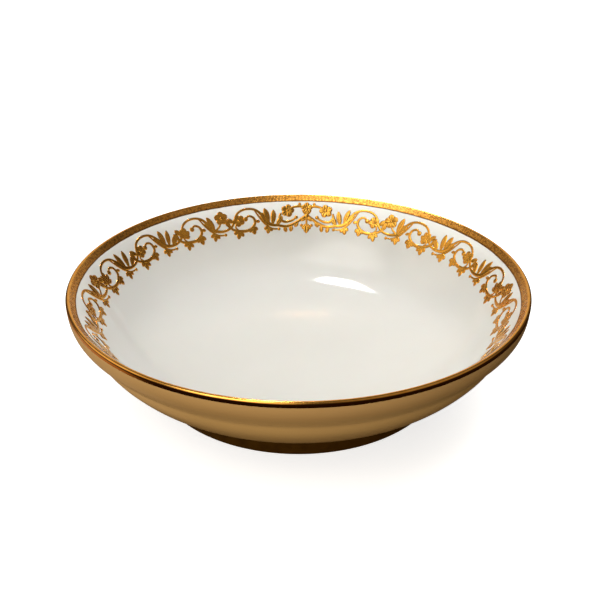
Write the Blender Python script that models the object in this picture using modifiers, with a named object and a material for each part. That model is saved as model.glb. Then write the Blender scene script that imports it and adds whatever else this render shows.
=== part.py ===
"""Porcelain serving bowl: a turned white body on a luted foot ring, a tan ground glaze outside,
a gilt lip, and a frieze of raised gilt scrolls round the inside wall.

Frame: metres, +Z up, with the origin on the table under the middle of the foot ring. The frieze's
main motif is centred on +Y, and its scrolls run away from it both ways to a second one at -Y.
"""

from math import cos, hypot, pi, radians, sin

import bmesh
import bpy

MM = 0.001

# Driving dimensions
RIM_RADIUS = 120.0 * MM
HEIGHT = 58.4 * MM
BEAD_RADIUS = 1.2 * MM
FLOOR_HEIGHT = 10.4 * MM
FLOOR_RADIUS = 44.0 * MM
BASE_UNDERSIDE = 5.8 * MM
FOOT_RADIUS_TOP = 81.2 * MM
FOOT_RADIUS_BOTTOM = 80.2 * MM
FOOT_INNER_TOP = 73.0 * MM
FOOT_INNER_BOTTOM = 74.6 * MM
FOOT_EDGE_ROUND = 0.8 * MM
SEAT_HEIGHT = 12.2 * MM
SEAT_INNER = 72.4 * MM
TONGUE_INNER = 75.9 * MM
TONGUE_OUTER = 78.1 * MM
TONGUE_HEIGHT = 1.5 * MM

FIT_GAP = 0.3 * MM
COAT = 0.3 * MM
TURNED_STEPS = 48
LIP_STEPS = 6

# Outside of the bowl under the gilding, down to the foot: rolled collar, neck, belly, heel
OUTER_WALL = [
    (120.0 * MM, 55.7 * MM),
    (119.7 * MM, 52.0 * MM),
    (118.7 * MM, 48.6 * MM),
    (115.9 * MM, 44.6 * MM),
    (112.8 * MM, 40.7 * MM),
    (108.5 * MM, 32.6 * MM),
    (102.0 * MM, 24.6 * MM),
    (96.0 * MM, 19.9 * MM),
    (90.0 * MM, 16.4 * MM),
    (81.8 * MM, 12.6 * MM),
]

# Inside of the bowl from the flat floor up to the frieze: a dish that steepens all the way
WELL_SIDE = [
    (FLOOR_RADIUS, FLOOR_HEIGHT),
    (52.0 * MM, 10.9 * MM),
    (60.0 * MM, 12.1 * MM),
    (70.0 * MM, 14.4 * MM),
    (77.0 * MM, 16.5 * MM),
    (84.0 * MM, 19.5 * MM),
    (91.0 * MM, 24.0 * MM),
    (97.0 * MM, 29.8 * MM),
]

# The frieze lies on a straight cone between these two points, and the gilding starts above it
FRIEZE_FOOT = (103.5 * MM, 38.0 * MM)
FRIEZE_HEAD = (113.9 * MM, 53.2 * MM)
GILT_INNER_EDGE = (115.1 * MM, 54.9 * MM)
GILT_OUTER_EDGE = (120.0 * MM, 56.0 * MM)
BEAD_FROM, BEAD_TO = 137, 0

# Frieze: two motifs, and between them rows of scrolls that mirror each other
SCROLLS_PER_SIDE = 8
MOTIF_HALF_ANGLE = radians(10.5)
SCROLL_ANGLE = (pi - 2 * MOTIF_HALF_ANGLE) / SCROLLS_PER_SIDE
FRIEZE_RADIUS = 109.0 * MM
SCROLL_LENGTH = SCROLL_ANGLE * FRIEZE_RADIUS
MOTIF_STEM_END = (MOTIF_HALF_ANGLE * FRIEZE_RADIUS / MM - 0.3, 4.8)
RELIEF = 0.3 * MM
RELIEF_LIFT = 0.4 * MM
STEM_WIDTH = 1.2 * MM
CURL_WIDTH = 0.9 * MM
STEM_LOW, STEM_HIGH = 4.8 * MM, 16.8 * MM
STEM_STEPS = 12
STEM_ROUNDNESS = 0.5
FLOWER_RADIUS = 2.5 * MM

# The curl under a crest, in mm along and up the wall: it leaves the falling stem and winds inwards
CURL_GUIDE = [(32.7, 6.4), (28.0, 3.6), (21.7, 2.8), (16.3, 4.9), (14.3, 8.9), (17.0, 12.0), (20.6, 9.8)]

# Leaves as (place on the stem or the curl, angle in degrees, length and width in mm)
STEM_LEAVES = [
    (0.05, 116, 6.6, 2.2),
    (0.09, 92, 9.4, 2.4),
    (0.14, 70, 8.8, 2.2),
    (0.80, 58, 5.4, 2.0),
    (0.86, 80, 6.8, 2.0),
]
CURL_LEAVES = [(3, -64, 3.4, 1.9), (5, -84, 3.6, 2.0), (6, -112, 4.0, 2.0)]


# Collections, materials and objects


def clear_scene():
    for obj in list(bpy.data.objects):
        bpy.data.objects.remove(obj, do_unlink=True)


def make_collection(name):
    collection = bpy.data.collections.new(name)
    bpy.context.scene.collection.children.link(collection)
    return collection


def make_material(name, colour, roughness, metallic=0.0):
    material = bpy.data.materials.new(name)
    material.use_nodes = True
    shader = material.node_tree.nodes["Principled BSDF"]
    shader.inputs["Base Color"].default_value = (*colour, 1.0)
    shader.inputs["Roughness"].default_value = roughness
    shader.inputs["Metallic"].default_value = metallic
    return material


def add_object(name, mesh, collection, material=None):
    obj = bpy.data.objects.new(name, mesh)
    collection.objects.link(obj)
    if material:
        mesh.materials.append(material)
    return obj


# Turned pieces: profiles are lists of (radius, height), running down the piece's outer side


def smooth_curve(stations, steps):
    """A Catmull-Rom curve through the stations, with `steps` points for each span."""
    first = [2 * a - b for a, b in zip(stations[0], stations[1])]
    last = [2 * a - b for a, b in zip(stations[-1], stations[-2])]
    guide = [first, *stations, last]
    points = []
    for p, q, r, s in zip(guide, guide[1:], guide[2:], guide[3:]):
        for step in range(steps):
            t = step / steps
            points.append(
                tuple(
                    0.5 * (2 * b + (c - a) * t + (2 * a - 5 * b + 4 * c - d) * t**2)
                    + 0.5 * (3 * b - a - 3 * c + d) * t**3
                    for a, b, c, d in zip(p, q, r, s)
                )
            )
    return points + [tuple(stations[-1])]


def arc(centre, radius, start, end, steps):
    angles = [radians(start + (end - start) * step / steps) for step in range(steps + 1)]
    return [(centre[0] + radius * cos(a), centre[1] + radius * sin(a)) for a in angles]


def inset(profile, depth):
    """The profile moved into the body by `depth`, square to itself."""
    moved = []
    for i, (radius, height) in enumerate(profile):
        before = profile[max(i - 1, 0)]
        after = profile[min(i + 1, len(profile) - 1)]
        along = (after[0] - before[0], after[1] - before[1])
        scale = depth / hypot(*along)
        moved.append((radius + along[1] * scale, height - along[0] * scale))
    return moved


def gilt_path():
    """The surface of the lip: the flare inside it, then over the bead to its outer side."""
    bead_centre = (RIM_RADIUS - BEAD_RADIUS, HEIGHT - BEAD_RADIUS)
    bead = arc(bead_centre, BEAD_RADIUS, BEAD_FROM, BEAD_TO, LIP_STEPS)
    return [GILT_INNER_EDGE, *bead, GILT_OUTER_EDGE]


def body_profile():
    """The white body: its coated surfaces lie below the coats, and a groove seats the foot."""
    flare = (GILT_INNER_EDGE[0] - FRIEZE_HEAD[0], GILT_INNER_EDGE[1] - FRIEZE_HEAD[1])
    share = 1 - FIT_GAP / hypot(*flare)
    white_edge = (FRIEZE_HEAD[0] + share * flare[0], FRIEZE_HEAD[1] + share * flare[1])
    inside = [(0.0, FLOOR_HEIGHT), *WELL_SIDE, FRIEZE_FOOT, FRIEZE_HEAD, white_edge]
    under_coats = inset([white_edge, *gilt_path()[1:], *OUTER_WALL], COAT + FIT_GAP)
    return [
        *inside,
        *under_coats,
        (FOOT_RADIUS_TOP, SEAT_HEIGHT),
        (TONGUE_OUTER + FIT_GAP, SEAT_HEIGHT),
        (TONGUE_OUTER + FIT_GAP, SEAT_HEIGHT + TONGUE_HEIGHT),
        (TONGUE_INNER - FIT_GAP, SEAT_HEIGHT + TONGUE_HEIGHT),
        (TONGUE_INNER - FIT_GAP, SEAT_HEIGHT),
        (SEAT_INNER, SEAT_HEIGHT),
        (SEAT_INNER, BASE_UNDERSIDE),
        (0.0, BASE_UNDERSIDE),
    ]


def foot_profile():
    top = SEAT_HEIGHT - FIT_GAP
    outer_round = (FOOT_RADIUS_BOTTOM - FOOT_EDGE_ROUND, FOOT_EDGE_ROUND)
    inner_round = (FOOT_INNER_BOTTOM + FOOT_EDGE_ROUND, FOOT_EDGE_ROUND)
    return [
        (FOOT_INNER_TOP, top),
        (TONGUE_INNER, top),
        (TONGUE_INNER, top + TONGUE_HEIGHT),
        (TONGUE_OUTER, top + TONGUE_HEIGHT),
        (TONGUE_OUTER, top),
        (FOOT_RADIUS_TOP, top),
        *arc(outer_round, FOOT_EDGE_ROUND, 0, -90, 2),
        *arc(inner_round, FOOT_EDGE_ROUND, -90, -180, 2),
        (FOOT_INNER_TOP, top),
    ]


def coat_profile(surface):
    return surface + inset(surface, COAT)[::-1] + surface[:1]


def turned(name, profile, collection, material):
    """Turns the profile round Z. A ring's profile ends where it starts."""
    mesh = bpy.data.meshes.new(name)
    points = [(radius, 0.0, height) for radius, height in profile]
    mesh.from_pydata(points, [(i, i + 1) for i in range(len(points) - 1)], [])
    obj = add_object(name, mesh, collection, material)
    screw = obj.modifiers.new("turn", "SCREW")
    screw.steps = TURNED_STEPS
    screw.render_steps = TURNED_STEPS
    screw.use_smooth_shade = True
    screw.use_merge_vertices = True
    screw.merge_threshold = 0.00001
    return obj


# Frieze: flat outlines in (along, up) on the wall, united and then bent round the cone


def stroke(path, width):
    """The outline of a stem of even width along `path`."""
    left, right = [], []
    for i, (x, y) in enumerate(path):
        before = path[max(i - 1, 0)]
        after = path[min(i + 1, len(path) - 1)]
        along = (after[0] - before[0], after[1] - before[1])
        scale = 0.5 * width / hypot(*along)
        left.append((x - along[1] * scale, y + along[0] * scale))
        right.append((x + along[1] * scale, y - along[0] * scale))
    return left + right[::-1]


def leaf(base, angle, length, width):
    """A pointed leaf growing from `base`: a shoulder on each side and a tip. Sizes in mm."""
    upper = [(0.0, 0.18 * width * MM), (0.45 * length * MM, 0.5 * width * MM)]
    outline = upper + [(length * MM, 0.0)] + [(u, -v) for u, v in upper[::-1]]
    c, s = cos(radians(angle)), sin(radians(angle))
    return [(base[0] + u * c - v * s, base[1] + u * s + v * c) for u, v in outline]


def rosette(centre, radius, petals=5):
    """A flower of pointed petals."""
    outline = []
    for i in range(petals * 2):
        reach = radius * (1.0 if i % 2 == 0 else 0.55)
        angle = pi / 2 + pi * i / petals
        outline.append((centre[0] + reach * cos(angle), centre[1] + reach * sin(angle)))
    return outline


def guided(guide, steps):
    """A smooth path through points given in mm along and up the wall."""
    return smooth_curve([(x * MM, y * MM) for x, y in guide], steps)


def wave_point(t):
    """A point of the running stem: low at t = 0 and 1, high at t = 0.5, with round crests."""
    along = t + STEM_ROUNDNESS / (4 * pi) * sin(4 * pi * t)
    rise = (1 - cos(2 * pi * t)) / 2
    return along * SCROLL_LENGTH, STEM_LOW + (STEM_HIGH - STEM_LOW) * rise


def scroll_outlines():
    """One scroll: a wave of the stem, a curl under its crest with a flower, and leaf sprays."""
    end_room = FIT_GAP / SCROLL_LENGTH
    span = 1 - 2 * end_room
    stem = [wave_point(end_room + span * i / STEM_STEPS) for i in range(STEM_STEPS + 1)]
    curl = guided(CURL_GUIDE, 2)
    sprays = [leaf(wave_point(t), angle, long, wide) for t, angle, long, wide in STEM_LEAVES]
    drops = [leaf(curl[i], angle, long, wide) for i, angle, long, wide in CURL_LEAVES]
    return [
        stroke(stem, STEM_WIDTH),
        stroke(curl, CURL_WIDTH),
        rosette(curl[-1], FLOWER_RADIUS),
        *sprays,
        *drops,
    ]


def mirrored(outline):
    return [(-x, y) for x, y in outline]


def motif_outlines():
    """The frieze's centre: a flower over crossed stems, two side flowers and a pendant drop."""
    low = guided([(-1.6, 14.0), (2.6, 9.4), (8.4, 5.6), (14.0, 4.2), MOTIF_STEM_END], 2)
    high = guided([(0.0, 15.0), (4.4, 16.4), (9.0, 15.6), (13.8, 13.4)], 2)
    loop = guided([(13.8, 13.4), (14.6, 10.0), (12.0, 7.0), (8.0, 6.0)], 2)
    side = [
        stroke(low, CURL_WIDTH),
        stroke(high, CURL_WIDTH),
        stroke(loop, CURL_WIDTH),
        rosette(high[-1], FLOWER_RADIUS),
        leaf(low[3], -58, 4.4, 2.0),
        leaf(low[5], -80, 3.6, 2.0),
    ]
    top = (0.0, 15.2 * MM)
    drop = (0.0, 5.2 * MM)
    middle = [
        stroke([top, (0.0, 0.5 * (top[1] + drop[1])), drop], CURL_WIDTH),
        rosette(top, FLOWER_RADIUS),
        leaf(drop, -90, 6.2, 3.4),
    ]
    return middle + side + [mirrored(outline) for outline in side]


def flat_solid(outline):
    """A thin slab of the outline, as a mesh object."""
    curve = bpy.data.curves.new("outline", "CURVE")
    curve.dimensions = "2D"
    curve.fill_mode = "BOTH"
    curve.extrude = RELIEF / 2
    spline = curve.splines.new("POLY")
    spline.points.add(len(outline) - 1)
    for point, (x, y) in zip(spline.points, outline):
        point.co = (x, y, 0.0, 1.0)
    spline.use_cyclic_u = True
    drawn = add_object("outline", curve, bpy.context.scene.collection)
    bpy.context.view_layer.update()
    mesh = bpy.data.meshes.new_from_object(drawn.evaluated_get(bpy.context.evaluated_depsgraph_get()))
    bpy.data.objects.remove(drawn)
    edit = bmesh.new()
    edit.from_mesh(mesh)
    bmesh.ops.remove_doubles(edit, verts=edit.verts, dist=0.000001)
    bmesh.ops.recalc_face_normals(edit, faces=edit.faces)
    edit.to_mesh(mesh)
    edit.free()
    return add_object("slab", mesh, bpy.context.scene.collection)


def united(outlines):
    """One mesh for all the outlines, each raised to a slab and joined to the others."""
    first, *others = [flat_solid(outline) for outline in outlines]
    for other in others:
        union = first.modifiers.new("union", "BOOLEAN")
        union.operation = "UNION"
        union.solver = "EXACT"
        union.object = other
    bpy.context.view_layer.update()
    mesh = bpy.data.meshes.new_from_object(first.evaluated_get(bpy.context.evaluated_depsgraph_get()))
    for helper in [first, *others]:
        bpy.data.objects.remove(helper)
    return mesh


def bend_onto_wall(mesh):
    """Turns (along, up, out) into a place on the frieze's cone, centred on +Y."""
    rise = (FRIEZE_HEAD[0] - FRIEZE_FOOT[0], FRIEZE_HEAD[1] - FRIEZE_FOOT[1])
    slope = (rise[0] / hypot(*rise), rise[1] / hypot(*rise))
    edit = bmesh.new()
    edit.from_mesh(mesh)
    bmesh.ops.dissolve_limit(edit, angle_limit=radians(0.5), verts=edit.verts, edges=edit.edges)
    bmesh.ops.triangulate(edit, faces=edit.faces)
    for vertex in edit.verts:
        along, up, out = vertex.co
        out += RELIEF_LIFT + RELIEF / 2
        radius = FRIEZE_FOOT[0] + up * slope[0] - out * slope[1]
        height = FRIEZE_FOOT[1] + up * slope[1] + out * slope[0]
        angle = pi / 2 - along / FRIEZE_RADIUS
        vertex.co = (radius * cos(angle), radius * sin(angle), height)
    edit.to_mesh(mesh)
    edit.free()
    return mesh


def build_frieze(collection, material):
    """The two motifs, and the scrolls right and left of the main one, numbered away from it."""
    scroll = scroll_outlines()
    meshes = {
        "scroll_right": bend_onto_wall(united(scroll)),
        "scroll_left": bend_onto_wall(united([mirrored(outline) for outline in scroll])),
        "motif": bend_onto_wall(united(motif_outlines())),
    }
    for mesh in meshes.values():
        mesh.materials.clear()
        mesh.materials.append(material)
    for name, turn in (("motif_back", 0.0), ("motif_front", pi)):
        add_object(name, meshes["motif"], collection).rotation_euler.z = turn
    for side, sign in (("scroll_right", -1), ("scroll_left", 1)):
        for i in range(SCROLLS_PER_SIDE):
            obj = add_object(f"{side}_{i + 1}", meshes[side], collection)
            obj.rotation_euler.z = sign * (MOTIF_HALF_ANGLE + i * SCROLL_ANGLE)


def main():
    clear_scene()
    parts = make_collection("porcelain_serving_bowl")
    porcelain = make_material("white_porcelain", (0.83, 0.83, 0.79), 0.08)
    tan_glaze = make_material("tan_ground_glaze", (0.28, 0.16, 0.06), 0.3)
    brown_glaze = make_material("brown_foot_glaze", (0.035, 0.015, 0.005), 0.45)
    gold = make_material("bright_gold", (0.75, 0.44, 0.11), 0.25, metallic=1.0)
    raised_gold = make_material("raised_gold", (0.66, 0.36, 0.07), 0.35, metallic=1.0)

    turned("bowl_body", body_profile(), parts, porcelain)
    turned("foot_ring", foot_profile(), parts, brown_glaze)
    turned("outer_glaze", coat_profile(OUTER_WALL), parts, tan_glaze)
    turned("lip_gilding", coat_profile(gilt_path()), parts, gold)
    build_frieze(parts, raised_gold)


main()
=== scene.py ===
"""Looks of the porcelain serving bowl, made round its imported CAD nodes.

The turned surfaces are lathed again finely from the CAD's stations, with thinner coats that all but
meet at the lip, and a tan coat that reaches in over the foot. Every scroll of the frieze becomes
modelled raised gold. Lengths are in metres, or in mm where a name or a comment says so. Frame: +Z
up, origin on the table under the foot, the frieze's main motif at +Y.
"""

import random
from math import cos, exp, hypot, pi, radians, sin

import bpy
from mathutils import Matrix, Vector


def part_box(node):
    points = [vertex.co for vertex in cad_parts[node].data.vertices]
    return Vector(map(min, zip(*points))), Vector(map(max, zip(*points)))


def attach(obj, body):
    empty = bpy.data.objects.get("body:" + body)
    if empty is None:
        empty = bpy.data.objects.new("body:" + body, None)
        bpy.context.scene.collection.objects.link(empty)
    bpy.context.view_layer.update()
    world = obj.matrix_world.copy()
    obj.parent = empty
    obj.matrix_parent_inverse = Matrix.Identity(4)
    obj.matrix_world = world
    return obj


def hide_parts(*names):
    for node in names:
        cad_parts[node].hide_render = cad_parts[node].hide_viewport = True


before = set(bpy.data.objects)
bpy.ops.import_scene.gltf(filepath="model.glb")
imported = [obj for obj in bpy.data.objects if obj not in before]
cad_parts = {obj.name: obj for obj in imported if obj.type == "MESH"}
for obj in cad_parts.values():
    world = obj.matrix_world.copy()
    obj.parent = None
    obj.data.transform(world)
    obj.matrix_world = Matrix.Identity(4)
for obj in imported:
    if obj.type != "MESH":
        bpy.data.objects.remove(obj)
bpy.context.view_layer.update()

MM = 0.001

# The turned shape. Profiles are (radius, height) in mm and run down a piece's outer side.
RIM_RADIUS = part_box("lip_gilding")[1].x / MM
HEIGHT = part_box("lip_gilding")[1].z / MM
BEAD_RADIUS = 1.2
BEAD_FROM, BEAD_TO = 137, 0
BEAD_STEPS = 24
FLOOR_HEIGHT = 10.4
FLOOR_RINGS, FLOOR_RING_STEP = 4, 10.4
BASE_UNDERSIDE = 5.8
BASE_ROUND = 1.2
BASE_ROUND_STEPS = 6
SEAT_HEIGHT = 12.2
SEAT_INNER = 72.4
SEAT_WIDTH = 4.0
SEAT_BEVEL = 0.6
FOOT_TOP = SEAT_HEIGHT - 0.05
FOOT_INNER_TOP = 73.0
FOOT_INNER_BOTTOM = 74.6
FOOT_RADIUS_BOTTOM = 80.2
FOOT_EDGE_ROUND = 0.8
FOOT_EDGE_STEPS = 8
OUTER_WALL = [
    (120.0, 55.95), (119.7, 52.0), (118.7, 48.6), (115.9, 44.6), (112.8, 40.7),
    (108.5, 32.6), (102.0, 24.6), (96.0, 19.9), (90.0, 16.4), (81.8, 12.6),
]
# Where the tan coat ends, in over the foot's outer edge and clear of its top
HEEL_END = (80.6, 12.28)
WELL_SIDE = [
    (44.0, 10.4), (52.0, 10.9), (60.0, 12.1), (70.0, 14.4), (77.0, 16.5), (84.0, 19.5),
    (91.0, 24.0), (97.0, 29.8),
]
FRIEZE_FOOT = (103.5, 38.0)
FRIEZE_HEAD = (113.9, 53.2)
GILT_INNER_EDGE = (115.1, 54.9)
GILT_OUTER_EDGE = (120.0, 56.0)
# The flare inside the lip, with a low ridge at its inner edge: (distance up it, height above it)
GILT_FLARE = [
    (0.0, 0.0), (0.12, 0.1), (0.3, 0.14), (0.5, 0.06), (0.75, 0.0),
    (1.4, 0.0), (2.1, 0.0), (2.8, 0.0), (3.5, 0.0),
]
# The gilding's inner edge wavers by these waves: (size, waves in a turn, start)
GILT_WAVES = [(0.05, 17, 1.0), (0.04, 41, 0.0), (0.03, 97, 2.0)]
WAVER_OUT, WAVER_UP = 0.77, 0.64
WAVERING_POINTS = 5
# The thickness of a coat, and the depth of the bed that the body leaves for it
COAT = 0.06
COAT_BED = 0.09
LATHE_STEPS = 384
ON_AXIS = 1e-6
SPAN_STEPS = 8

# The frieze, in mm along and up the inside wall
FRIEZE_RADIUS = 109.0
MOTIF_HALF_ANGLE = radians(10.5)
SCROLLS_PER_SIDE = 8
SCROLL_ANGLE = (pi - 2 * MOTIF_HALF_ANGLE) / SCROLLS_PER_SIDE
SCROLL_LENGTH = SCROLL_ANGLE * FRIEZE_RADIUS
MOTIF_HALF_LENGTH = MOTIF_HALF_ANGLE * FRIEZE_RADIUS
STEM_LOW, STEM_HIGH = 4.6, 17.2
STEM_ROUNDNESS = 0.5
STEM_WIDTH = 1.65
STOUT_AT, STOUT_SPREAD, STOUT_EXTRA = 0.17, 0.12, 1.2
STEM_STEPS = 56
STEM_WIDTHS = 28
# How deep the raised gold is set into the wall
SUNK = 0.04
HAND_SEED = 7


# Curves in the plane


def smooth_curve(stations, steps=SPAN_STEPS):
    """A Catmull-Rom curve through the stations, with `steps` points for each span."""
    first = tuple(2 * a - b for a, b in zip(stations[0], stations[1]))
    last = tuple(2 * a - b for a, b in zip(stations[-1], stations[-2]))
    guide = [first, *stations, last]
    points = []
    for p, q, r, s in zip(guide, guide[1:], guide[2:], guide[3:]):
        for step in range(steps):
            t = step / steps
            points.append(
                tuple(
                    0.5 * (2 * b + (c - a) * t + (2 * a - 5 * b + 4 * c - d) * t**2)
                    + 0.5 * (3 * b - a - 3 * c + d) * t**3
                    for a, b, c, d in zip(p, q, r, s)
                )
            )
    return points + [tuple(stations[-1])]


def arc(centre, radius, start, end, steps):
    """Points along an arc between two angles in degrees."""
    angles = [radians(start + (end - start) * i / steps) for i in range(steps + 1)]
    return [(centre[0] + radius * cos(a), centre[1] + radius * sin(a)) for a in angles]


def inset(profile, depth):
    """The profile moved into the body by `depth`, at right angles to itself."""
    moved = []
    for i, (radius, height) in enumerate(profile):
        before = profile[max(i - 1, 0)]
        after = profile[min(i + 1, len(profile) - 1)]
        along = (after[0] - before[0], after[1] - before[1])
        scale = depth / hypot(*along)
        moved.append((radius + along[1] * scale, height - along[0] * scale))
    return moved


# Turned pieces


def lathe(name, profile, closed, wander=None):
    """Turns a profile round Z. `wander(i, angle)` may shift point i, in mm, as (out, up)."""
    rings = []
    points = []
    for i, (radius, height) in enumerate(profile):
        if radius < ON_AXIS:
            rings.append([len(points)] * LATHE_STEPS)
            points.append((0.0, 0.0, height * MM))
            continue
        rings.append(range(len(points), len(points) + LATHE_STEPS))
        for step in range(LATHE_STEPS):
            angle = 2 * pi * step / LATHE_STEPS
            out, up = wander(i, angle) if wander else (0.0, 0.0)
            r = (radius + out) * MM
            points.append((r * cos(angle), r * sin(angle), (height + up) * MM))
    if closed:
        rings.append(rings[0])
    faces = []
    for upper, lower in zip(rings, rings[1:]):
        for step in range(LATHE_STEPS):
            after = (step + 1) % LATHE_STEPS
            corners = (upper[step], lower[step], lower[after], upper[after])
            faces.append(tuple(dict.fromkeys(corners)))
    return mesh_object(name, points, faces)


def mesh_object(name, points, faces, sharp=40):
    """A smooth-shaded mesh, with a crisp edge where it bends by more than `sharp` degrees."""
    mesh = bpy.data.meshes.new(name)
    mesh.from_pydata(points, [], faces)
    mesh.shade_smooth()
    mesh.set_sharp_from_angle(angle=radians(sharp))
    obj = bpy.data.objects.new(name, mesh)
    bpy.context.scene.collection.objects.link(obj)
    return obj


def outer_wall():
    return smooth_curve(OUTER_WALL)


def inner_wall():
    """From the middle of the floor up to the gilding's inner edge."""
    floor = [(FLOOR_RING_STEP * i, FLOOR_HEIGHT) for i in range(FLOOR_RINGS)]
    return floor + smooth_curve([*WELL_SIDE, FRIEZE_FOOT, FRIEZE_HEAD, GILT_INNER_EDGE])


def gilt_path():
    """The surface of the lip: the flare inside it, then over the bead to its outer side."""
    bead_centre = (RIM_RADIUS - BEAD_RADIUS, HEIGHT - BEAD_RADIUS)
    bead = arc(bead_centre, BEAD_RADIUS, BEAD_FROM, BEAD_TO, BEAD_STEPS)
    rise = (bead[0][0] - GILT_INNER_EDGE[0], bead[0][1] - GILT_INNER_EDGE[1])
    length = hypot(*rise)
    slope = (rise[0] / length, rise[1] / length)
    flare = [
        (
            GILT_INNER_EDGE[0] + along * slope[0] - above * slope[1],
            GILT_INNER_EDGE[1] + along * slope[1] + above * slope[0],
        )
        for along, above in GILT_FLARE
    ]
    return flare + bead + [GILT_OUTER_EDGE]


def porcelain_body():
    """The white body, with a bed for the coats outside and a seat for the foot below."""
    bed = inset(gilt_path() + outer_wall(), COAT_BED)
    base_corner = (SEAT_INNER - BASE_ROUND, BASE_UNDERSIDE + BASE_ROUND)
    underside = [
        (SEAT_INNER + SEAT_WIDTH, SEAT_HEIGHT),
        (SEAT_INNER + SEAT_BEVEL, SEAT_HEIGHT),
        (SEAT_INNER, SEAT_HEIGHT - SEAT_BEVEL),
        *arc(base_corner, BASE_ROUND, 0, -90, BASE_ROUND_STEPS),
        (SEAT_INNER / 2, BASE_UNDERSIDE),
        (0.0, BASE_UNDERSIDE),
    ]
    return lathe("white_body", inner_wall()[:-1] + bed + underside, closed=False)


def skin(surface):
    """A thin coat under a surface, as a closed ring profile."""
    return surface + inset(surface, COAT)[::-1]


def tan_coat():
    """The outer glaze, painted tan as warm shade, which runs in under the heel until the foot hides
    its end.
    """
    return lathe("tan_coat", skin(outer_wall() + [HEEL_END]), closed=True)


def gilt_lip():
    """The gold over the lip. Its inner edge wavers a little, as a brushed line does."""
    profile = skin(gilt_path())

    def wander(i, angle):
        if WAVERING_POINTS <= i < len(profile) - WAVERING_POINTS:
            return 0.0, 0.0
        waver = sum(size * sin(waves * angle + start) for size, waves, start in GILT_WAVES)
        return waver * WAVER_OUT, waver * WAVER_UP

    return lathe("gilt_lip", profile, closed=True, wander=wander)


def foot():
    """The foot ring, with a softened resting edge."""
    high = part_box("foot_ring")[1]
    outer_edge = (FOOT_RADIUS_BOTTOM - FOOT_EDGE_ROUND, FOOT_EDGE_ROUND)
    inner_edge = (FOOT_INNER_BOTTOM + FOOT_EDGE_ROUND, FOOT_EDGE_ROUND)
    profile = [
        (FOOT_INNER_TOP, FOOT_TOP),
        (high.x / MM, FOOT_TOP),
        *arc(outer_edge, FOOT_EDGE_ROUND, 0, -90, FOOT_EDGE_STEPS),
        *arc(inner_edge, FOOT_EDGE_ROUND, -90, -180, FOOT_EDGE_STEPS),
    ]
    return lathe("foot_band", profile, closed=True)


# Raised gold. Flat shapes lie in (along, up, out) on the wall, in mm, and are bent onto it last.

STEM_RELIEF = 0.34
LEAF_RELIEF = 0.36
BERRY_RELIEF = 0.5
HEART_RELIEF = BERRY_RELIEF + 0.1
DOME_RINGS, DOME_SIDES = 4, 12
LEAF_STEPS = 9
# A leaf's least share of its width, in the half near its base and in the half near its tip
LEAF_NECK, LEAF_TIP = 0.32, 0.16
PETALS = 5
# Cross-sections, from edge to edge: (place across, share of the height)
ROUND = [
    (-1, 0), (-0.88, 0.5), (-0.6, 0.82), (-0.2, 0.99),
    (0.2, 0.99), (0.6, 0.82), (0.88, 0.5), (1, 0),
]
VEINED = [
    (-1, 0), (-0.84, 0.62), (-0.5, 1), (-0.18, 0.86), (0, 0.62),
    (0.18, 0.86), (0.5, 1), (0.84, 0.62), (1, 0),
]
# A spray's leaves: (turn in degrees, share of its length)
OPEN_SPRAY = [(-66, 0.62), (66, 0.62), (-30, 0.9), (32, 0.88), (0, 1.0)]
CLOSE_SPRAY = [(-52, 0.8), (52, 0.8), (0, 1.0)]


class Relief:
    """Collects the strips of one scroll or motif as a mesh."""

    def __init__(self, mirror=False):
        self.points = []
        self.faces = []
        self.side = -1 if mirror else 1

    def strip(self, path, half_widths, heights, section):
        """A raised band along a path, with `section` as its cross-section."""
        start = len(self.points)
        size = len(section)
        for i, (x, y) in enumerate(path):
            before = path[max(i - 1, 0)]
            after = path[min(i + 1, len(path) - 1)]
            along = (after[0] - before[0], after[1] - before[1])
            scale = half_widths[i] / hypot(*along)
            for across, share in section:
                px = x - along[1] * scale * across
                py = y + along[0] * scale * across
                self.points.append((self.side * px, py, heights[i] * share - SUNK))
        rings = len(path)
        for i in range(rings - 1):
            for j in range(size):
                a = start + i * size + j
                b = start + i * size + (j + 1) % size
                self.face(a, b, b + size, a + size)
        self.face(*range(start + size - 1, start - 1, -1))
        last = start + (rings - 1) * size
        self.face(*range(last, last + size))

    def dome(self, x, y, radius, height):
        """A round berry or flower heart."""
        start = len(self.points)
        self.points.append((self.side * x, y, height - SUNK))
        for ring in range(1, DOME_RINGS + 1):
            tilt = pi / 2 * ring / DOME_RINGS
            for i in range(DOME_SIDES):
                angle = 2 * pi * i / DOME_SIDES
                px = x + radius * sin(tilt) * cos(angle)
                py = y + radius * sin(tilt) * sin(angle)
                self.points.append((self.side * px, py, height * cos(tilt) - SUNK))
        for i in range(DOME_SIDES):
            after = (i + 1) % DOME_SIDES
            self.face(start, start + 1 + after, start + 1 + i)
            for ring in range(DOME_RINGS - 1):
                a = start + 1 + ring * DOME_SIDES + i
                b = start + 1 + ring * DOME_SIDES + after
                self.face(a, b, b + DOME_SIDES, a + DOME_SIDES)
        rim = start + 1 + (DOME_RINGS - 1) * DOME_SIDES
        self.face(*range(rim, rim + DOME_SIDES))

    def face(self, *corners):
        self.faces.append(corners[::-self.side])

    def object(self, name, turn):
        """The mesh bent onto the frieze's cone and turned to its place."""
        points = [on_wall(*point, turn) for point in self.points]
        return mesh_object(name, points, self.faces, sharp=70)


def on_wall(along, up, out, turn):
    """A flat point of the frieze, placed on the wall."""
    rise = (FRIEZE_HEAD[0] - FRIEZE_FOOT[0], FRIEZE_HEAD[1] - FRIEZE_FOOT[1])
    length = hypot(*rise)
    slope = (rise[0] / length, rise[1] / length)
    radius = (FRIEZE_FOOT[0] + up * slope[0] - out * slope[1]) * MM
    height = (FRIEZE_FOOT[1] + up * slope[1] + out * slope[0]) * MM
    angle = pi / 2 - along / FRIEZE_RADIUS + turn
    return radius * cos(angle), radius * sin(angle), height


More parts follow.
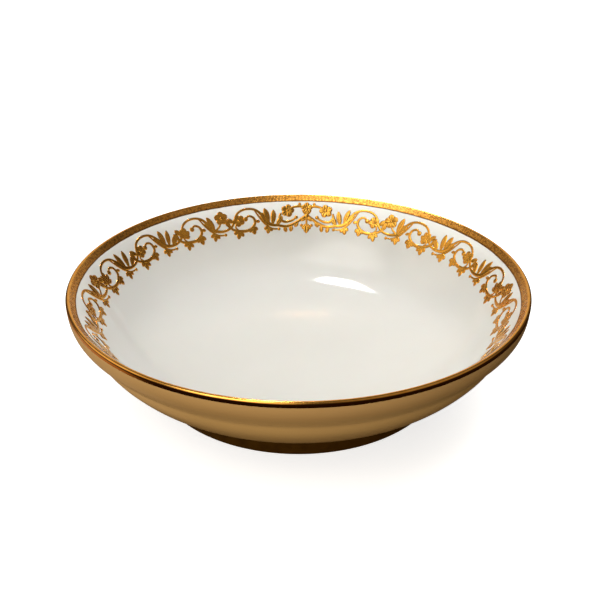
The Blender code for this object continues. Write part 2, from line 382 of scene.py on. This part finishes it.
def stem(relief, path, widths):
    """A rounded stem. `widths` are spread evenly along the path."""
    count = len(path) - 1
    halves = []
    for i in range(count + 1):
        at = i / count * (len(widths) - 1)
        k = min(int(at), len(widths) - 2)
        halves.append(0.5 * (widths[k] + (widths[k + 1] - widths[k]) * (at - k)))
    full = 0.5 * max(widths)
    heights = [STEM_RELIEF * (0.5 + 0.5 * half / full) for half in halves]
    relief.strip(path, halves, heights, ROUND)


def lobe(relief, base, angle, length, width, bend=0.0):
    """A rounded leaf or petal on a narrow neck. It turns by `bend` degrees along its length."""
    x, y = base
    path, halves, heights = [], [], []
    for i in range(LEAF_STEPS + 1):
        u = i / LEAF_STEPS
        path.append((x, y))
        heading = radians(angle + bend * u)
        x += length / LEAF_STEPS * cos(heading)
        y += length / LEAF_STEPS * sin(heading)
        swell = max(abs(sin(pi * u**1.2)) ** 0.55, LEAF_NECK if u < 0.5 else LEAF_TIP)
        halves.append(0.5 * width * swell)
        heights.append(LEAF_RELIEF * (0.35 + 0.65 * swell))
    relief.strip(path, halves, heights, VEINED)


def flower(relief, centre, radius, turn=0.0):
    """A flower of rounded petals round a raised heart."""
    for i in range(PETALS):
        angle = 90 + turn + 360 * i / PETALS
        root = (
            centre[0] + 0.1 * radius * cos(radians(angle)),
            centre[1] + 0.1 * radius * sin(radians(angle)),
        )
        lobe(relief, root, angle, 0.92 * radius, 0.94 * radius)
    relief.dome(*centre, 0.24 * radius, HEART_RELIEF)


def spray(relief, base, angle, length, width, leaves):
    """A fan of rounded leaves from one point."""
    for turn, share in leaves:
        lobe(relief, base, angle + turn, length * share, width * (0.55 + 0.45 * share))


def wave_point(t):
    """A point of the running stem: low at t = 0 and 1, high at t = 0.5, with round crests."""
    along = t + STEM_ROUNDNESS / (4 * pi) * sin(4 * pi * t)
    rise = (1 - cos(2 * pi * t)) / 2
    return along * SCROLL_LENGTH, STEM_LOW + (STEM_HIGH - STEM_LOW) * rise


def wave_width(t):
    """The running stem is stoutest on the way up from each valley."""
    near = min(abs(t - STOUT_AT), abs(t - 1 - STOUT_AT))
    return STEM_WIDTH + STOUT_EXTRA * exp(-((near / STOUT_SPREAD) ** 2))


def scroll(relief, number, hand):
    """One scroll: the running stem, a ball-ended curl under its crest, flowers and leaves.

    `hand` draws the small differences between scrolls. A smooth curve has SPAN_STEPS points for
    each span between its stations, so curl[13] lies in the curl's second span.
    """

    def near(value, spread=0.07):
        return value * (1 + hand.uniform(-spread, spread))

    def lean(angle, spread=6):
        return angle + hand.uniform(-spread, spread)

    wave = [wave_point(i / STEM_STEPS) for i in range(STEM_STEPS + 1)]
    stem(relief, wave, [wave_width(i / STEM_WIDTHS) for i in range(STEM_WIDTHS + 1)])

    branch = smooth_curve([wave_point(0.42), (11.2, 10.2), (7.8, 5.6), (3.8, 2.6), (-1.0, 2.0)])
    stem(relief, branch, [0.9, 1.4, 1.5, 1.3, 1.0])
    relief.dome(*branch[-1], 1.1, BERRY_RELIEF)

    guide = [
        (34.6, 8.4), (30.2, 4.4), (24.4, 2.6), (18.9, 3.4),
        (15.2, 6.8), (15.5, 10.8), (18.6, 12.4), (21.0, 10.6),
    ]
    curl = smooth_curve([(x, y + hand.uniform(-0.2, 0.2)) for x, y in guide])
    stem(relief, curl, [1.3, 1.9, 2.2, 2.1, 1.9, 1.7, 1.5, 1.2])
    relief.dome(*curl[-1], 1.6, BERRY_RELIEF)

    twig = smooth_curve([curl[13], (28.6, 5.6), (27.8, 8.0), (26.6, 9.6)])
    stem(relief, twig, [1.3, 1.1])
    if number % 2:
        spray(relief, (28.2, 6.6), lean(110), near(7.0), near(3.7), OPEN_SPRAY)
    else:
        flower(relief, (25.8, near(9.9, 0.03)), near(4.1), lean(0, 36))

    upright = [(0.01, 128, 7.0), (0.06, 104, 10.4), (0.11, 84, 10.6), (0.16, 64, 7.0)]
    if number % 3 == 1:
        sprig = smooth_curve([wave_point(0.1), (1.8, 8.4), (0.2, 11.4)])
        stem(relief, sprig, [1.5, 1.2])
        flower(relief, (-0.6, 13.4), near(4.9), lean(10, 20))
        upright = upright[2:]
    for t, angle, length in upright:
        lobe(relief, wave_point(t), lean(angle), near(length), near(3.7), bend=lean(-10, 8))
    for t, angle, length in [(0.8, 38, 5.6), (0.89, 60, 6.0)]:
        lobe(relief, wave_point(t), lean(angle), near(length), near(3.3), bend=lean(14, 8))

    spray(relief, curl[13], lean(-74), near(5.4), near(3.3), CLOSE_SPRAY)
    spray(relief, curl[27], lean(-100), near(5.2), near(3.5), CLOSE_SPRAY)
    spray(relief, branch[20], lean(-74), near(5.0), near(3.1), CLOSE_SPRAY)
    lobe(relief, curl[36], lean(-160), near(3.4), near(2.2))


def motif_half(relief, hand):
    """The right half of a motif, or its mirror image. Its low stem runs on into the first scroll."""
    stem_end = (MOTIF_HALF_LENGTH, STEM_LOW)
    low = smooth_curve([(-1.8, 13.0), (2.4, 9.4), (8.0, 5.6), (13.8, STEM_LOW - 1.0), stem_end])
    high = smooth_curve([(0.0, 15.2), (4.0, 17.0), (8.6, 16.6), (12.0, 14.8)])
    loop = smooth_curve([(17.2, 12.6), (18.0, 9.4), (15.0, 6.8), (10.2, 7.4), (7.0, 9.6)])
    stem(relief, low, [1.6, 1.9, 2.1, 2.0, wave_width(0)])
    stem(relief, high, [1.9, 1.8, 1.5])
    stem(relief, loop, [1.5, 1.9, 1.7, 1.2])
    relief.dome(*loop[-1], 1.3, BERRY_RELIEF)
    flower(relief, (12.6, 14.2), 4.4, 14)
    for index, angle, length in [(13, -58, 4.4), (19, -80, 4.8), (26, -108, 4.2)]:
        lobe(relief, low[index], angle + hand.uniform(-4, 4), length, 2.9)
    lobe(relief, high[9], 84, 2.6, 2.1)


def motif_middle(relief):
    """The upright on the motif's axis: a flower over a stem with berries and leaves."""
    stem(relief, smooth_curve([(0.0, 15.0), (0.0, 9.4), (0.0, 4.6)], steps=6), [1.6, 1.7, 1.3])
    flower(relief, (0.0, 15.8), 3.9)
    relief.dome(0.0, 10.6, 1.6, BERRY_RELIEF)
    for side in (-1, 1):
        lobe(relief, (0.0, 9.6), 90 + side * 122, 4.8, 2.7, bend=-side * 14)
        relief.dome(side * 3.4, 4.1, 1.1, BERRY_RELIEF)
        lobe(relief, (0.0, 5.4), 90 + side * 146, 4.8, 2.6, bend=-side * 10)
    lobe(relief, (0.0, 5.4), -90, 6.6, 4.2)


# Materials: shader nodes fed by noise over object coordinates in mm

# Heights at which the tan's painted shade tones start and end
TAN_LOW, TAN_HIGH = 12.0, 56.0
# Radians of the fine turning rings for each mm of height
TURNING_RINGS = 2.6
# The lip, by radius: the stippled band's outer edge, the brown line at the gold's inner edge, and
# the painted shade on the bead's outer side
LIP_BAND = (117.6, 118.4)
LIP_INNER_LINE = (115.35, 115.85)
LIP_OUTER_SHADE = (119.7, 119.96)
LIP_TICKS = 760.0


def fill_ramp(ramp, stops):
    """Sets a ramp's colours. Stops are (place, (r, g, b))."""
    while len(ramp.elements) < len(stops):
        ramp.elements.new(0.5)
    for element, (at, colour) in zip(ramp.elements, stops):
        element.position = at
        element.color = (*colour, 1.0)


class Paint:
    """A Principled material whose nodes are wired with short calls."""

    def __init__(self, name, **values):
        self.material = bpy.data.materials.new(name)
        self.material.use_nodes = True
        self.nodes = self.material.node_tree.nodes
        self.links = self.material.node_tree.links
        self.shader = self.nodes["Principled BSDF"]
        for socket, value in values.items():
            self.shader.inputs[socket.replace("_", " ")].default_value = value
        place = self.nodes.new("ShaderNodeTexCoord")
        scale = self.nodes.new("ShaderNodeVectorMath")
        scale.operation = "SCALE"
        scale.inputs["Scale"].default_value = 1 / MM
        self.links.new(place.outputs["Object"], scale.inputs[0])
        self.place = scale.outputs["Vector"]

    def wire(self, kind, inputs, output=0, **settings):
        """Adds a node. Its inputs are set to numbers or linked to other nodes' outputs."""
        node = self.nodes.new(kind)
        for key, value in settings.items():
            setattr(node, key, value)
        for key, value in inputs.items():
            if isinstance(value, bpy.types.NodeSocket):
                self.links.new(value, node.inputs[key])
            else:
                node.inputs[key].default_value = value
        return node.outputs[output]

    def noise(self, per_mm, detail=3.0, roughness=0.55):
        inputs = {"Vector": self.place, "Scale": per_mm, "Detail": detail, "Roughness": roughness}
        return self.wire("ShaderNodeTexNoise", inputs)

    def math(self, operation, a, b=0.0):
        return self.wire("ShaderNodeMath", {0: a, 1: b}, operation=operation)

    def span(self, value, low, high, to_low=0.0, to_high=1.0, smooth=False):
        """The value's range low..high carried to to_low..to_high, held at both ends."""
        inputs = {
            "Value": value,
            "From Min": low,
            "From Max": high,
            "To Min": to_low,
            "To Max": to_high,
        }
        kind = "SMOOTHSTEP" if smooth else "LINEAR"
        return self.wire("ShaderNodeMapRange", inputs, interpolation_type=kind)

    def ramp(self, value, stops):
        """Colours by value: stops are (place, (r, g, b))."""
        node = self.nodes.new("ShaderNodeValToRGB")
        fill_ramp(node.color_ramp, stops)
        self.links.new(value, node.inputs["Fac"])
        return node.outputs["Color"]

    def mix(self, factor, a, b):
        """Colour a turned into colour b by the factor."""
        node = self.nodes.new("ShaderNodeMix")
        node.data_type = "RGBA"
        for key, value in (("Factor_Float", factor), ("A_Color", a), ("B_Color", b)):
            socket = next(s for s in node.inputs if s.identifier == key)
            if isinstance(value, bpy.types.NodeSocket):
                self.links.new(value, socket)
            else:
                socket.default_value = (*value, 1.0) if isinstance(value, tuple) else value
        return next(s for s in node.outputs if s.identifier == "Result_Color")

    def height(self):
        return self.wire("ShaderNodeSeparateXYZ", {0: self.place}, output=2)

    def radius(self):
        flattened = {0: self.place, 1: (1.0, 1.0, 0.0)}
        flat = self.wire("ShaderNodeVectorMath", flattened, operation="MULTIPLY")
        return self.wire("ShaderNodeVectorMath", {0: flat}, output="Value", operation="LENGTH")

    def angle(self):
        parts = self.nodes.new("ShaderNodeSeparateXYZ")
        self.links.new(self.place, parts.inputs[0])
        return self.math("ARCTAN2", parts.outputs[1], parts.outputs[0])

    def set(self, socket, value):
        self.links.new(value, self.shader.inputs[socket])

    def bump(self, *layers):
        """Layers are (height value, depth in mm), stacked into one normal."""
        normal = None
        for value, depth in layers:
            inputs = {"Height": value, "Distance": depth * MM, "Strength": 1.0}
            if normal is not None:
                inputs["Normal"] = normal
            normal = self.wire("ShaderNodeBump", inputs)
        self.set("Normal", normal)


def white_porcelain():
    """Bright white body under a clear glaze, with faint cool and warm clouds."""
    paint = Paint(
        "white_porcelain_glaze",
        Roughness=0.05,
        IOR=1.5,
        Subsurface_Weight=0.05,
        Subsurface_Scale=0.002,
    )
    cloud = paint.noise(0.018, 3.0)
    body = paint.ramp(cloud, [(0.3, (0.80, 0.81, 0.80)), (0.7, (0.83, 0.84, 0.83))])
    speck = paint.span(paint.noise(0.9, 2.0), 0.72, 0.78)
    paint.set("Base Color", paint.mix(speck, body, (0.76, 0.75, 0.70)))
    paint.set("Roughness", paint.span(paint.noise(0.05, 4.0), 0.3, 0.7, 0.04, 0.085))
    paint.bump((paint.noise(0.06, 2.0), 0.03), (paint.noise(1.1, 2.0), 0.0012))
    return paint.material


def tan_painted_shade():
    """The tan is painted warm shade, for the bounce light of a warm table: lightest below the neck,
    darker round the collar and at the heel.
    """
    paint = Paint("tan_ground_glaze", Roughness=0.3, IOR=1.5)
    # Painted shade by height: darkest at the heel, where the wall turns under towards the foot.
    tone = paint.ramp(
        paint.span(paint.height(), TAN_LOW, TAN_HIGH),
        [
            (0.0, (0.07, 0.034, 0.009)),
            (0.25, (0.15, 0.08, 0.024)),
            (0.44, (0.225, 0.125, 0.039)),
            (0.62, (0.32, 0.182, 0.058)),
            (0.76, (0.27, 0.151, 0.049)),
            (0.86, (0.205, 0.112, 0.036)),
            (1.0, (0.28, 0.158, 0.053)),
        ],
    )
    cloud = paint.span(paint.noise(0.03, 4.0), 0.35, 0.7, 0.0, 0.18)
    mottled = paint.mix(cloud, tone, (0.25, 0.135, 0.042))
    paint.set("Base Color", mottled)
    paint.set("Roughness", paint.span(paint.noise(0.12, 4.0), 0.3, 0.7, 0.31, 0.38))
    rings = paint.math("SINE", paint.math("MULTIPLY", paint.height(), TURNING_RINGS))
    paint.bump((rings, 0.002), (paint.noise(0.3, 3.0), 0.004))
    return paint.material


def brown_foot():
    """Dark brown on the foot's side, painted shade for the shadow round the foot, and worn pale
    where it rests on the table.
    """
    paint = Paint("brown_foot_painted_shade", Roughness=0.5, IOR=1.45, Specular_IOR_Level=0.05)
    cloud = paint.noise(0.2, 4.0)
    # Painted shade: the dark brown stands in for the shadow round the foot and the dark table it
    # reflects.
    brown = paint.ramp(cloud, [(0.3, (0.017, 0.006, 0.0006)), (0.7, (0.026, 0.010, 0.0009))])
    rub = paint.math("ADD", paint.height(), paint.span(cloud, 0.3, 0.7, -0.2, 0.2))
    worn = paint.span(rub, 0.05, 0.35, 1.0, 0.0)
    paint.set("Base Color", paint.mix(worn, brown, (0.30, 0.24, 0.17)))
    paint.set("Roughness", paint.span(paint.noise(0.8, 3.0), 0.3, 0.7, 0.4, 0.65))
    paint.bump((paint.noise(0.5, 4.0), 0.02), (paint.noise(3.0, 2.0), 0.01))
    return paint.material


def lip_gold():
    """Bright gold on the bead, a ticked, stippled band inside it, a brown line at its inner edge,
    and painted shade on the bead's outer side.
    """
    paint = Paint("lip_gold_leaf", Metallic=1.0, Roughness=0.2)
    band = paint.span(paint.radius(), *LIP_BAND, 1.0, 0.0, smooth=True)
    cloud = paint.noise(0.25, 4.0)
    colour = paint.ramp(cloud, [(0.3, (0.87, 0.39, 0.065)), (0.7, (0.97, 0.50, 0.12))])
    grain = paint.noise(0.8, 3.0, 0.65)
    pits = paint.span(grain, 0.42, 0.52, 0.75, 0.0)
    dotted = paint.mix(paint.math("MULTIPLY", pits, band), colour, (0.42, 0.15, 0.016))
    inner_line = paint.span(paint.radius(), *LIP_INNER_LINE, 0.8, 0.0, smooth=True)
    # Painted shade and dark reflection on the bead's outer side.
    outer_shade = paint.span(paint.radius(), *LIP_OUTER_SHADE, 0.0, 0.75, smooth=True)
    line_and_shade = paint.math("ADD", inner_line, outer_shade)
    paint.set("Base Color", paint.mix(line_and_shade, dotted, (0.22, 0.075, 0.008)))
    polish = paint.span(paint.noise(0.4, 4.0), 0.3, 0.7, 0.13, 0.19)
    paint.set("Roughness", paint.math("ADD", polish, paint.math("MULTIPLY", band, 0.07)))
    stipple = paint.math("MULTIPLY", grain, band)
    ticks = paint.math("SINE", paint.math("MULTIPLY", paint.angle(), LIP_TICKS))
    hatch = paint.math("MULTIPLY", ticks, band)
    paint.bump((stipple, 0.1), (hatch, 0.025), (paint.noise(0.3, 3.0), 0.015))
    return paint.material


def raised_gold():
    """Fired paste gold: bright to brown with its grain, and browner in faint clouds."""
    paint = Paint("raised_paste_gold", Metallic=1.0, Roughness=0.3)
    cloud = paint.noise(0.12, 3.0)
    grain = paint.noise(1.3, 3.0, 0.6)
    colour = paint.ramp(
        grain,
        [(0.3, (0.56, 0.23, 0.025)), (0.5, (0.86, 0.42, 0.065)), (0.75, (0.98, 0.57, 0.12))],
    )
    dull = paint.span(cloud, 0.4, 0.7, 0.0, 0.35)
    paint.set("Base Color", paint.mix(dull, colour, (0.56, 0.23, 0.03)))
    paint.set("Roughness", paint.span(paint.noise(0.9, 3.0), 0.3, 0.7, 0.19, 0.26))
    paint.bump((grain, 0.05), (paint.noise(4.0, 2.0), 0.015))
    return paint.material


# Putting the pieces in place of their nodes


def install(piece, node, material):
    """Gives a piece its material and puts it in the frame instead of its node."""
    piece.data.materials.append(material)
    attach(piece, "root")
    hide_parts(node)


def build_turned_pieces():
    install(porcelain_body(), "bowl_body", white_porcelain())
    install(tan_coat(), "outer_glaze", tan_painted_shade())
    install(gilt_lip(), "lip_gilding", lip_gold())
    install(foot(), "foot_ring", brown_foot())


def build_frieze():
    gold = raised_gold()
    hand = random.Random(HAND_SEED)
    for node, turn in (("motif_back", 0.0), ("motif_front", pi)):
        relief = Relief()
        motif_half(relief, hand)
        relief.side = -1
        motif_half(relief, hand)
        relief.side = 1
        motif_middle(relief)
        install(relief.object(f"gilt_{node}", turn), node, gold)
    for side, sign in (("right", -1), ("left", 1)):
        for i in range(SCROLLS_PER_SIDE):
            node = f"scroll_{side}_{i + 1}"
            relief = Relief(mirror=side == "left")
            scroll(relief, i, hand)
            turn = sign * (MOTIF_HALF_ANGLE + i * SCROLL_ANGLE)
            install(relief.object(f"gilt_{node}", turn), node, gold)


# Stage


# The stage is laid out as seen along +Y, then turned about Z to the photographer's place
VIEW_TURN = radians(2.7)
CAMERA_PLACE = (0.00074, -0.36066, 0.23118)
CAMERA_DIP = radians(27.825)
LENS, SENSOR = 45.0, 36.0
NEAR_CLIP = 0.01
LIGHT_DISTANCE = 1.0
FLOOR_SIZE = 3.0
BACKDROP_SIDES = 64
BACKDROP_RADIUS = 2.8
BACKDROP_LOW, BACKDROP_HIGH = -0.2, 2.8
TABLE_COLOUR = (0.03, 0.014, 0.004)
# Soft bright patches of the studio: azimuth, elevation, inner and outer radius in degrees, colour
SKY_PATCHES = [
    (-126, 66, 2, 26, (2.8, 2.75, 2.6)),
    (-142, 41, 6, 27, (1.3, 1.25, 1.12)),
    (0, 18, 6, 40, (0.62, 0.54, 0.38)),
    (-82, 28, 6, 30, (0.9, 0.8, 0.64)),
    (112, 40, 8, 46, (0.24, 0.2, 0.14)),
    (-64, -33, 4, 36, (0.84, 0.52, 0.25)),
    (-166, 24, 2, 18, (0.9, 0.75, 0.5)),
]


def turned(place):
    """A place on the stage as laid out, turned to where it stands."""
    x, y, z = place
    return (
        x * cos(VIEW_TURN) - y * sin(VIEW_TURN),
        x * sin(VIEW_TURN) + y * cos(VIEW_TURN),
        z,
    )


def build_camera():
    camera = bpy.data.cameras.new("camera")
    camera.lens = LENS
    camera.sensor_width = SENSOR
    camera.clip_start = NEAR_CLIP
    obj = bpy.data.objects.new("camera", camera)
    obj.location = turned(CAMERA_PLACE)
    obj.rotation_euler = (pi / 2 - CAMERA_DIP, 0.0, VIEW_TURN)
    bpy.context.scene.collection.objects.link(obj)
    bpy.context.scene.camera = obj


def heading(azimuth, elevation):
    """The direction that lies `azimuth` degrees right of straight back, and up by `elevation`."""
    flat = cos(radians(elevation))
    return (flat * sin(radians(azimuth)), flat * cos(radians(azimuth)), sin(radians(elevation)))


def softbox(name, azimuth, elevation, size, power, shape="RECTANGLE", glossy=False):
    """An area light facing the bowl, hidden from the camera, and from the glaze unless `glossy`."""
    light = bpy.data.lights.new(name, "AREA")
    light.shape = shape
    light.size, light.size_y = size
    light.energy = power
    obj = bpy.data.objects.new(name, light)
    away = Vector(turned(heading(azimuth, elevation)))
    obj.location = away * LIGHT_DISTANCE
    obj.rotation_euler = away.to_track_quat("Z", "Y").to_euler()
    obj.visible_glossy = glossy
    obj.visible_camera = False
    bpy.context.scene.collection.objects.link(obj)


def pale_paint(name, roughness, per_mm, glow):
    """Matt pale paint with faint clouds, which glows so that it comes out white."""
    white = (1.0, 1.0, 1.0, 1.0)
    paint = Paint(name, Roughness=roughness, Emission_Color=white, Emission_Strength=glow)
    cloud = paint.noise(per_mm, 2.0)
    tone = paint.ramp(cloud, [(0.3, (0.80, 0.80, 0.80)), (0.7, (0.82, 0.82, 0.82))])
    paint.set("Base Color", tone)
    return paint.material


def build_floor():
    """The pale floor. The bowl's shadow falls on it, but it gives the bowl no light."""
    size = FLOOR_SIZE
    corners = [(-size, -size, 0.0), (size, -size, 0.0), (size, size, 0.0), (-size, size, 0.0)]
    floor = mesh_object("floor", corners, [(0, 1, 2, 3)])
    floor.data.materials.append(pale_paint("pale_floor", 0.8, 0.01, 0.68))
    floor.visible_glossy = False
    floor.visible_diffuse = False


def build_backdrop():
    """A pale wall and ceiling round the floor. The camera sees them, and they light nothing."""
    sides = BACKDROP_SIDES
    angles = [2 * pi * i / sides for i in range(sides)]
    points = [
        (BACKDROP_RADIUS * cos(a), BACKDROP_RADIUS * sin(a), z)
        for z in (BACKDROP_LOW, BACKDROP_HIGH)
        for a in angles
    ]
    faces = [(i, (i + 1) % sides, sides + (i + 1) % sides, sides + i) for i in range(sides)]
    faces.append(tuple(range(sides, 2 * sides)))
    backdrop = mesh_object("backdrop", points, faces)
    backdrop.data.materials.append(pale_paint("pale_backdrop", 0.9, 0.002, 1.0))
    backdrop.visible_diffuse = False
    backdrop.visible_glossy = False
    backdrop.visible_shadow = False


def build_world():
    """A dim warm studio with soft bright patches, over a dark brown table seen in reflections."""
    world = bpy.data.worlds.new("studio")
    world.use_nodes = True
    bpy.context.scene.world = world
    nodes, links = world.node_tree.nodes, world.node_tree.links
    way = nodes.new("ShaderNodeTexCoord").outputs["Generated"]
    parts = nodes.new("ShaderNodeSeparateXYZ")
    links.new(way, parts.inputs[0])
    lift = nodes.new("ShaderNodeMapRange")
    lift.inputs["From Min"].default_value = -1.0
    links.new(parts.outputs["Z"], lift.inputs["Value"])
    ramp = nodes.new("ShaderNodeValToRGB")
    links.new(lift.outputs["Result"], ramp.inputs["Fac"])
    stops = [
        (0.0, TABLE_COLOUR),
        (0.47, TABLE_COLOUR),
        (0.54, (0.07, 0.045, 0.022)),
        (0.75, (0.06, 0.055, 0.048)),
        (1.0, (0.08, 0.08, 0.078)),
    ]
    fill_ramp(ramp.color_ramp, stops)
    total = ramp.outputs["Color"]
    for azimuth, elevation, inner, outer, colour in SKY_PATCHES:
        towards = nodes.new("ShaderNodeVectorMath")
        towards.operation = "DOT_PRODUCT"
        links.new(way, towards.inputs[0])
        towards.inputs[1].default_value = turned(heading(azimuth, elevation))
        patch = nodes.new("ShaderNodeMapRange")
        patch.interpolation_type = "SMOOTHERSTEP"
        patch.inputs["From Min"].default_value = cos(radians(outer))
        patch.inputs["From Max"].default_value = cos(radians(inner))
        links.new(towards.outputs["Value"], patch.inputs["Value"])
        tint = nodes.new("ShaderNodeVectorMath")
        tint.operation = "MULTIPLY_ADD"
        links.new(patch.outputs["Result"], tint.inputs[0])
        tint.inputs[1].default_value = colour
        links.new(total, tint.inputs[2])
        total = tint.outputs["Vector"]
    links.new(total, nodes["Background"].inputs["Color"])


def build_stage():
    build_camera()
    build_floor()
    build_backdrop()
    build_world()
    softbox("window", -8, 57.5, (0.084, 0.19), 1.8, shape="ELLIPSE", glossy=True)
    softbox("right_fill", 54, 54, (0.4, 0.4), 3.1)
    softbox("left_fill", -148, 5, (0.5, 0.12), 6.6)
    softbox("front_fill", 176, 4, (0.5, 0.12), 5.2)
    softbox("back_fill", 14, 5, (0.6, 0.12), 8.0)
    softbox("side_fill", 62, 3, (0.5, 0.1), 1.6)
    bpy.context.scene.view_settings.view_transform = "Standard"


build_stage()
build_turned_pieces()
build_frieze()
